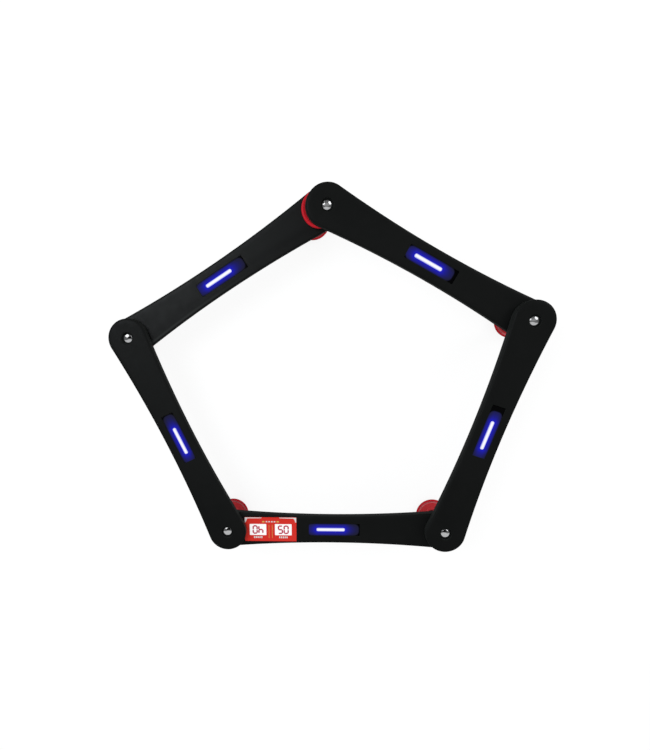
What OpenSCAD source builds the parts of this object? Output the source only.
// Folding five-arm stick- and ball-handling trainer.
// Five waisted arms of one outline are hinged end to end on vertical pins and stand on
// round feet, so a ball or puck can run underneath them. The last arm closes the
// ring by resting on a cap on the free end of the first one.
// Origin: on the floor under the bottom-left pin. +X runs along the control arm,
// +Y towards the inside of the ring, +Z up.

/* [Arms] */
// Distance between the two pin centres of one arm
arm_len = 340; // [320:5:360]
// Radius of the round arm ends
end_r = 29.8; // [28.6:0.2:30]
// Half of the width at the waist, midway along the arm
waist_r = 22.2; // [21:0.2:23]
// Thickness of an arm, cover and base together
arm_t = 13; // [12.6:0.2:13.6]
// Wall thickness of the moulded cover
wall = 2; // [1.8:0.2:2.4]

/* [Stance] */
// Free height under the low arms
under_h = 69; // [66:1:80]
// Gap between an upper arm and the arm below it
level_gap = 1; // [1:0.1:1.6]
// Inside angle of the ring at the bottom-left pin, degrees
angle_bl = 114.9; // [112:0.1:117]
// Inside angle of the ring at the bottom-right pin, degrees
angle_br = 109.0; // [107:0.1:111]
// Heading of the top-left arm from the left pin, degrees
head_tl = 31.3; // [30:0.1:32.5]
// Heading of the top-right arm from the right pin, degrees
head_tr = 150.85; // [150:0.05:152]
// Height of the cap that carries the free end of the top-right arm
cap_h = 14.5; // [13:0.5:15.5]

/* [Feet and pins] */
// Radius of the round feet
foot_r = 26; // [24:0.5:28]
// Radius of the rest cap
cap_r = 27; // [26:0.5:28.5]
// How far the legs of the top-left arm stand back from its pins, along the arm
leg_back = 9; // [6:0.5:10]
// Diameter of the leg between foot and arm
leg_d = 16; // [14:1:18]
// Diameter of the hinge pin
pin_d = 10; // [9:0.5:10]
// Radius of the sunk seat around a pin head
seat_r = 9.3; // [9:0.1:9.6]
// Radius of the domed pin head
dome_r = 7.6; // [7:0.2:7.8]
// Height of the domed pin head
dome_h = 2.6; // [2.2:0.1:3.5]

/* [Light window] */
// Length of the dark window
window_l = 80.5; // [76:0.5:84]
// Width of the dark window
window_w = 20; // [18:0.5:21]
// Length of the light bar
bar_l = 45; // [42:0.5:49]
// Width of the light bar
bar_w = 5.6; // [5:0.1:7]
// Centre of the light bar from the start of the arm
bar_x = 164.4; // [163:0.2:171]

/* [Display] */
// Length of the display panel
panel_l = 83.2; // [80:0.2:84]
// Width of the display panel
panel_w = 40.4; // [38:0.2:40.4]
// Start of the display panel along the control arm
panel_x = 26.8; // [26:0.1:28.5]
// Sideways place of the panel's centre line
panel_y = 0.3; // [-0.3:0.1:0.5]

/* [Hidden] */
$fn = 96;
cut = 1;    // a cut runs this far past a face
lap = 0.1;  // joined solids overlap by this
gap = 0.05; // hairline gap between neighbouring pieces
fit = 0.02; // slip fit

// radii
boss_r = 13;
bush_r = 7;
pin_r = pin_d / 2;
leg_r = leg_d / 2;
thread_r = 2.6;
pin_bore = pin_r + fit;
bush_bore = bush_r + fit;

// heights within an arm, from its underside
base_z = 0.3;
base_t = 1.6;
base_top = base_z + base_t;
board_z = 5.4;
board_top = board_z + 1.6;
roof_z = arm_t - 1.8;  // underside of the cover's top wall
boss_top = arm_t - 0.5;
seat_z = arm_t - 3.6;  // floor of the pin-head seats

// heights from the floor
z_low = under_h;
z_high = under_h + arm_t + level_gap;
hinge_drop = 2.2;
z_top_right = z_low - hinge_drop;
pin_seat_z = z_high + seat_z;
pin_top = pin_seat_z - 0.1;
flange_z = z_high - level_gap + gap;
hinge_shoulder = z_top_right - 1.6; // under the top-right arm's hinge
// the top-right arm leans up from its hinge to lie over the cap
free_rise = arm_t + cap_h + 2.9 + hinge_drop;
lean = asin(free_rise / arm_len);

// plan positions of the pins
pin_bottom_left = [0, 0];
pin_bottom_right = [arm_len, 0];
pin_left = arm_len * [cos(angle_bl), sin(angle_bl)];
pin_right = pin_bottom_right + arm_len * [-cos(angle_br), sin(angle_br)];
pin_top_left = pin_left + arm_len * [cos(head_tl), sin(head_tl)];
control_pins = [pin_bottom_left, pin_bottom_right];

// the arc that makes the waist, and where it meets the round ends
mid = arm_len / 2;
arc_r = (pow(mid, 2) + waist_r * waist_r - end_r * end_r) / (2 * (end_r - waist_r));
tangent_x = end_r * mid / (arc_r + end_r);
tangent_y = end_r * (waist_r + arc_r) / (arc_r + end_r);

// base screws, one on each side of the arm: along the arm, off its centre line
screw_inset = 42;
screw_places = [[screw_inset, 18], [mid + 2, 16.1], [arm_len - screw_inset, 18]];

cover_color = "#1d1f20";
base_color = "#242627";
window_color = "#08080c";
bar_color = "#dfe6ff";
board_color = "#145a34";
lens_color = "#240d12";
screw_color = "#9a9da0";
leg_color = "#2a2c2e";
foot_color = "#a8222c";
pad_color = "#1a1a1a";
head_color = "#d8dadc";
bush_color = "#d9d2b8";

// ---------------------------------------------------------------- placing
module at_pins(pins) for (p = pins) translate([p[0], p[1], 0]) children();
module on_control() translate([0, 0, z_low]) children();
module on_left() translate([0, 0, z_high]) rotate([0, 0, angle_bl]) children();
module on_top_left()
  at_pins([pin_left]) translate([0, 0, z_low]) rotate([0, 0, head_tl]) children();
module on_right()
  at_pins([pin_bottom_right]) translate([0, 0, z_high]) rotate([0, 0, 180 - angle_br]) children();
// the top-right arm starts at its free end, so it is laid from the far pin backwards
module on_top_right()
  at_pins([pin_right]) translate([0, 0, z_top_right]) rotate([0, 0, head_tr])
    rotate([0, -lean, 0]) translate([arm_len, 0, 0]) rotate([0, 0, 180]) children();
module at_screws()
  for (p = screw_places, side = [-1, 1]) translate([p[0], side * p[1], 0]) children();

// ---------------------------------------------------------------- basic shapes
// block of plan size [length, width], centred on x, y
module slab(size, z0, z1, x = 0, y = 0)
  translate([x - size[0] / 2, y - size[1] / 2, z0]) cube([size[0], size[1], z1 - z0]);
module rod(r, z0, z1, x = 0, y = 0) translate([x, y, z0]) cylinder(r = r, h = z1 - z0);
module ring(r, z, bead_r, facets)
  rotate_extrude() translate([r, z]) circle(r = bead_r, $fn = facets);
function grown(size, by) = size + [by, by];

// ---------------------------------------------------------------- arm parts
window_size = [window_l, window_w];
sensor_opening = [30, 12];
diode_h = 1.5; // above the board

// outline of an arm: two round ends joined by two long concave arcs
module bone(inset = 0) {
  for (x = [0, arm_len]) translate([x, 0]) circle(r = end_r - inset);
  k = (end_r - inset) / end_r;
  difference() {
    translate([tangent_x * k, -tangent_y * k])
      square([arm_len - 2 * tangent_x * k, 2 * tangent_y * k]);
    for (side = [-1, 1])
      translate([mid, side * (waist_r + arc_r)]) circle(r = arc_r + inset, $fn = 900);
  }
}
// moulded cover: top and side walls with bosses, open underneath
// the bores are at its start and end; 0 leaves that end to the caller
module arm_cover(start_bore, end_bore, display = false) {
  difference() {
    union() {
      difference() {
        linear_extrude(arm_t) bone();
        translate([0, 0, -cut]) linear_extrude(roof_z + cut) bone(wall);
      }
      for (x = [0, arm_len]) rod(boss_r, 0, boss_top, x);
      at_screws() rod(2.8, base_top, boss_top);
      // posts from the board up, beyond the window's ends
      for (k = [-1, 1], side = [-1, 1])
        rod(1.5, board_top, boss_top, mid + k * (window_l / 2 + 3.3), side * 11.5);
    }
    // sunk seats for the pin heads
    for (x = [0, arm_len]) rod(seat_r, seat_z, arm_t + cut, x);
    if (start_bore > 0) rod(start_bore, -cut, arm_t, 0);
    if (end_bore > 0) rod(end_bore, -cut, arm_t, arm_len);
    slab(window_size, arm_t - 5, arm_t + cut, mid);
    // screw pilots
    at_screws() rod(1.1, 1, 9.5);
    if (display) display_cuts();
  }
}
// flat base plate set into the cover
base_cut_z = 5; // top of the cuts through the base
module arm_base(control = false) {
  difference() {
    translate([0, 0, base_z]) linear_extrude(base_t) bone(wall + 0.12);
    for (x = [0, arm_len]) rod(boss_r + 0.2, -cut, base_cut_z, x);
    // screw holes and the recesses for their heads
    at_screws() {
      rod(1.4, -cut, base_cut_z);
      rod(2.5, -cut, 1);
    }
    slab(sensor_opening, -cut, base_cut_z, bar_x);
    if (control) {
      rod(button_r + 0.15, -cut, base_cut_z, button_x);
      // five slots below the buzzer
      for (i = [-2:2]) slab([14, 1.2], -cut, base_cut_z, 305, i * 3);
    }
  }
}
// dark lens let into the cover, with a hidden lip and a slot for the light bar
module arm_window() {
  lip_top = roof_z - gap;
  difference() {
    union() {
      slab(grown(window_size, -0.2), lip_top, arm_t - 1, mid);
      slab(grown(window_size, 3), roof_z - 1.2, lip_top, mid);
    }
    bar_shape(gap, 0, arm_t + cut);
  }
}
// round-ended block of the light bar's size, its width grown by margin on each side
module bar_shape(margin, z0, z1) {
  straight = bar_l - bar_w;
  slab([straight, bar_w + 2 * margin], z0, z1, bar_x);
  for (k = [-1, 1]) rod(bar_w / 2 + margin, z0, z1, bar_x + k * straight / 2);
}
// light bar: a milky diffuser that stands just above the diodes
module arm_light_bar() bar_shape(0, board_top + diode_h + 0.1, arm_t - 0.85);
// components on the upper and lower faces of a board
module part_above(size, height, x, y = 0)
  slab(size, board_top - lap, board_top + height, x, y);
module part_below(size, height, x, y = 0)
  slab(size, board_z - height, board_z + lap, x, y);
// circuit board with its row of light-emitting diodes and the beam sensor below
module arm_board() {
  diode_pitch = 9;
  slab([99, 26], board_z, board_top, bar_x + 1);
  for (i = [-2:2]) part_above([3.5, 2.8], diode_h, bar_x + i * diode_pitch);
  // beam sensor between two round parts
  part_below([16, 7], 2.5, bar_x);
  for (side = [-1, 1]) rod(2.5, board_z - 2.6, board_z + lap, bar_x + side * 11);
  // one chip on each face
  part_above([7, 7], 1, bar_x + 36);
  part_below([7, 5], 1.1, bar_x - 34, 4);
}
// lens that fills the base opening, with a flange above the base
module arm_sensor_lens() {
  slab(grown(sensor_opening, -0.2), base_z, base_top + gap, bar_x);
  slab(grown(sensor_opening, 3), base_top + gap, 2.6, bar_x);
}
// cross-slotted pan-head screws that hold the base
module arm_screws() {
  slot = [3.2, 0.5];
  slot_top = 0.65;
  at_screws() {
    rod(1.05, 0.9, 8.6);
    difference() {
      rod(2.35, 0.25, 1);
      slab(slot, 0, slot_top);
      slab([slot[1], slot[0]], 0, slot_top);
    }
  }
}

// ---------------------------------------------------------------- feet, legs and pins
pad_t = 3;
shank_r = thread_r - gap;

// round foot with a beaded rim and a shallow groove inside it
module foot() {
  bead_r = 1.9;
  difference() {
    union() {
      rod(foot_r - 0.4, pad_t, 6.4);
      ring(foot_r - bead_r, 6.3, bead_r, 40);
      rod(foot_r - 6, pad_t, 7.3);
      rod(leg_r + 2.2, pad_t, 9);
    }
    rod(leg_r + fit, pad_t - cut, 12);
  }
}
// pad under a foot, with a round groove in its underside
module foot_pad() {
  difference() {
    rod(foot_r - 3, 0, pad_t);
    ring(foot_r - 9, 0, 1, 32);
  }
}
// adds the hinge pin to a leg; its tapped hole takes the domed head
module with_pin(shoulder, top) {
  difference() {
    union() {
      children();
      rod(pin_r, shoulder - lap, top);
    }
    rod(thread_r, top - 14, top + cut);
  }
}
// leg and hinge pin, one turned piece
module leg(shoulder, top) with_pin(shoulder, top) rod(leg_r, pad_t + fit, shoulder);
// cranked leg: the pin stands off the leg's own axis, both on one flange
module cranked_leg(shoulder, top) {
  flange_t = 3;
  with_pin(shoulder, top) {
    rod(leg_r, pad_t + fit, shoulder - flange_t + lap, -leg_back);
    rod(14.5, shoulder - flange_t, shoulder, -leg_back / 2);
  }
}
// domed head on a threaded shank, its seat on the plane z = 0
module dome_head(shank_l) {
  sphere_r = (dome_r * dome_r + dome_h * dome_h) / (2 * dome_h);
  intersection() {
    translate([0, 0, dome_h - sphere_r]) sphere(r = sphere_r, $fn = 96);
    rod(dome_r, fit, 8);
  }
  rod(shank_r, -shank_l, lap);
}
module pin_heads(pins) at_pins(pins) translate([0, 0, pin_seat_z + gap]) dome_head(12);
// flanged sleeve pressed into an upper arm, its flange rides on the arm below
module bush(z0 = flange_z, z1 = pin_seat_z - gap) {
  difference() {
    union() {
      rod(bush_r, z0, z1);
      rod(boss_r, flange_z, flange_z + level_gap - 0.1);
    }
    rod(pin_r + gap, z0 - cut, z1 + cut);
  }
}

// ---------------------------------------------------------------- control arm
module control_cover() color(cover_color) on_control() arm_cover(pin_bore, pin_bore, true);
module control_base() color(base_color) on_control() arm_base(true);
module control_window() color(window_color) on_control() arm_window();
module control_light_bar() color(bar_color) on_control() arm_light_bar();
module control_board() color(board_color) on_control() arm_board();
module control_sensor_lens() color(lens_color) on_control() arm_sensor_lens();
module control_screws() color(screw_color) on_control() arm_screws();

panel_size = [panel_l, panel_w];
panel_mid = panel_x + panel_l / 2;
panel_bed = arm_t - 0.9;   // floor of the panel's recess
screen_places = [48.2, 88.9];
screen_y = -0.3;
screen_opening = [30, 22]; // in the cover
view_size = [27, 19];      // opening in the panel
glass_z = arm_t - 4.2;
port_x = 316;
port_l = 9;
port_z = 3.4;
port_top = 6.7;
button_x = 268;
button_r = 5;
inner_z = base_top + 0.2;  // underside of the battery and the buzzer
buzzer_x = 302;

module at_screens() for (x = screen_places) translate([x, screen_y, 0]) children();
// panel recess, screen openings and the port's opening in the control cover
module display_cuts() {
  slab(grown(panel_size, 0.2), panel_bed, arm_t + cut, panel_mid, panel_y);
  at_screens() slab(screen_opening, arm_t - 4, arm_t + cut);
  // through the outer side wall
  slab([port_l + 0.2, 12], port_z - 0.1, port_top + 0.1, port_x, -26);
}
// printed overlay with two openings
module display_panel()
  color("#d6302a") on_control() difference() {
    slab(panel_size, panel_bed + gap, arm_t + 0.4, panel_mid, panel_y);
    at_screens() slab(view_size, 0, arm_t + 2);
  }
// two display glasses that rise into the overlay's openings
module display_screens()
  color("#f2f0ee") on_control() at_screens() {
    slab(grown(screen_opening, -0.4), glass_z, panel_bed);
    slab(grown(view_size, -0.2), panel_bed - gap, arm_t - 0.1);
  }
// board with a block under each glass and two chips below
module display_board()
  color(board_color) on_control() {
    slab([84, 29.4], board_z, board_top, 68, screen_y);
    at_screens() slab([28, 14], board_top - lap, glass_z - gap);
    part_below([9, 9], 1.1, 64);
    part_below([6, 4], 1, 88, 6);
  }
module battery_pack() color("#b9bcc2") on_control() slab([36, 30], inner_z, 7.6, 242);
// socket, hollow towards the outer side
module charge_port()
  color("#8f9296") on_control() difference() {
    slab([port_l, 8], port_z, port_top, port_x, -22.6);
    slab([7.6, 6], port_z + 0.7, port_top - 0.7, port_x, -24.2);
  }
module buzzer()
  color("#2b2b2d") on_control() difference() {
    rod(6, inner_z, 6.1, buzzer_x);
    rod(1.2, 4, 7, buzzer_x);
  }
// button that stands out below the base, held by a flange inside
module power_button()
  color("#c03a35") on_control() {
    flange_bottom = 2;
    rod(button_r, -0.9, flange_bottom, button_x);
    rod(button_r + 1.4, flange_bottom, 2.9, button_x);
  }
module control_legs() color(leg_color) at_pins(control_pins) leg(z_low, pin_top);
module control_feet() color(foot_color) at_pins(control_pins) foot();
module control_foot_pads() color(pad_color) at_pins(control_pins) foot_pad();
module control_pin_heads() color(head_color) pin_heads(control_pins);

// ---------------------------------------------------------------- left arm
module left_cover() color(cover_color) on_left() arm_cover(bush_bore, bush_bore);
module left_base() color(base_color) on_left() arm_base();
module left_window() color(window_color) on_left() arm_window();
module left_light_bar() color(bar_color) on_left() arm_light_bar();
module left_board() color(board_color) on_left() arm_board();
module left_sensor_lens() color(lens_color) on_left() arm_sensor_lens();
module left_screws() color(screw_color) on_left() arm_screws();
module left_bushes() color(bush_color) at_pins([pin_bottom_left, pin_left]) bush();

// ---------------------------------------------------------------- top-left arm
module top_left_cover() color(cover_color) on_top_left() arm_cover(pin_bore, pin_bore);
module top_left_base() color(base_color) on_top_left() arm_base();
module top_left_window() color(window_color) on_top_left() arm_window();
module top_left_light_bar() color(bar_color) on_top_left() arm_light_bar();
module top_left_board() color(board_color) on_top_left() arm_board();
module top_left_sensor_lens() color(lens_color) on_top_left() arm_sensor_lens();
module top_left_screws() color(screw_color) on_top_left() arm_screws();
module top_left_legs()
  color(leg_color) {
    at_pins([pin_left]) rotate([0, 0, head_tl]) cranked_leg(z_low, pin_top);
    at_pins([pin_top_left]) rotate([0, 0, head_tl])
      cranked_leg(z_low, z_low + arm_t + cap_h - 5);
  }
module set_back()
  at_pins([pin_left, pin_top_left]) rotate([0, 0, head_tl]) translate([-leg_back, 0, 0])
    children();
module top_left_feet() color(foot_color) set_back() foot();
module top_left_foot_pads() color(pad_color) set_back() foot_pad();
module left_pin_head() color(head_color) pin_heads([pin_left]);
// cap on the free end, shaped like a deep foot
module rest_cap() {
  bead_r = 2.2;
  color(foot_color) at_pins([pin_top_left]) translate([0, 0, z_low + arm_t + fit])
    difference() {
      union() {
        rod(cap_r - 2.5, 0, cap_h - 1.6);
        rod(cap_r - 1, 0, 2.4);
        ring(cap_r - bead_r, cap_h - 2.24, bead_r, 40);
      }
      rod(pin_bore, -cut, cap_h - 4);
      rod(cap_r - 8, cap_h - 2.4, cap_h + cut);
    }
}

// ---------------------------------------------------------------- right arm
module right_cover() color(cover_color) on_right() arm_cover(bush_bore, pin_bore);
module right_base() color(base_color) on_right() arm_base();
module right_window() color(window_color) on_right() arm_window();
module right_light_bar() color(bar_color) on_right() arm_light_bar();
module right_board() color(board_color) on_right() arm_board();
module right_sensor_lens() color(lens_color) on_right() arm_sensor_lens();
module right_screws() color(screw_color) on_right() arm_screws();
module right_bush() color(bush_color) at_pins([pin_bottom_right]) bush();
module right_leg() color(leg_color) at_pins([pin_right]) leg(hinge_shoulder, pin_top);
module right_foot() color(foot_color) at_pins([pin_right]) foot();
module right_foot_pad() color(pad_color) at_pins([pin_right]) foot_pad();
module right_pin_head() color(head_color) pin_heads([pin_right]);

// ---------------------------------------------------------------- top-right arm
// this arm leans, so its hinge bore is cut upright
module top_right_cover()
  color(cover_color) difference() {
    on_top_right() arm_cover(thread_r, 0);
    at_pins([pin_right]) rod(bush_bore, 0, 200);
  }
module top_right_base() color(base_color) on_top_right() arm_base();
module top_right_window() color(window_color) on_top_right() arm_window();
module top_right_light_bar() color(bar_color) on_top_right() arm_light_bar();
module top_right_board() color(board_color) on_top_right() arm_board();
module top_right_sensor_lens() color(lens_color) on_top_right() arm_sensor_lens();
module top_right_screws() color(screw_color) on_top_right() arm_screws();
module top_right_bush()
  color(bush_color) at_pins([pin_right]) bush(hinge_shoulder + 0.1, z_high - 0.5);
module free_end_bolt()
  color(head_color) on_top_right() translate([0, 0, seat_z]) dome_head(8);

control_cover();
control_base();
control_window();
control_light_bar();
control_board();
control_sensor_lens();
control_screws();
display_panel();
display_screens();
display_board();
battery_pack();
charge_port();
buzzer();
power_button();
control_legs();
control_feet();
control_foot_pads();
control_pin_heads();
left_cover();
left_base();
left_window();
left_light_bar();
left_board();
left_sensor_lens();
left_screws();
left_bushes();
top_left_cover();
top_left_base();
top_left_window();
top_left_light_bar();
top_left_board();
top_left_sensor_lens();
top_left_screws();
top_left_legs();
top_left_feet();
top_left_foot_pads();
left_pin_head();
rest_cap();
right_cover();
right_base();
right_window();
right_light_bar();
right_board();
right_sensor_lens();
right_screws();
right_bush();
right_leg();
right_foot();
right_foot_pad();
right_pin_head();
top_right_cover();
top_right_base();
top_right_window();
top_right_light_bar();
top_right_board();
top_right_sensor_lens();
top_right_screws();
top_right_bush();
free_end_bolt();
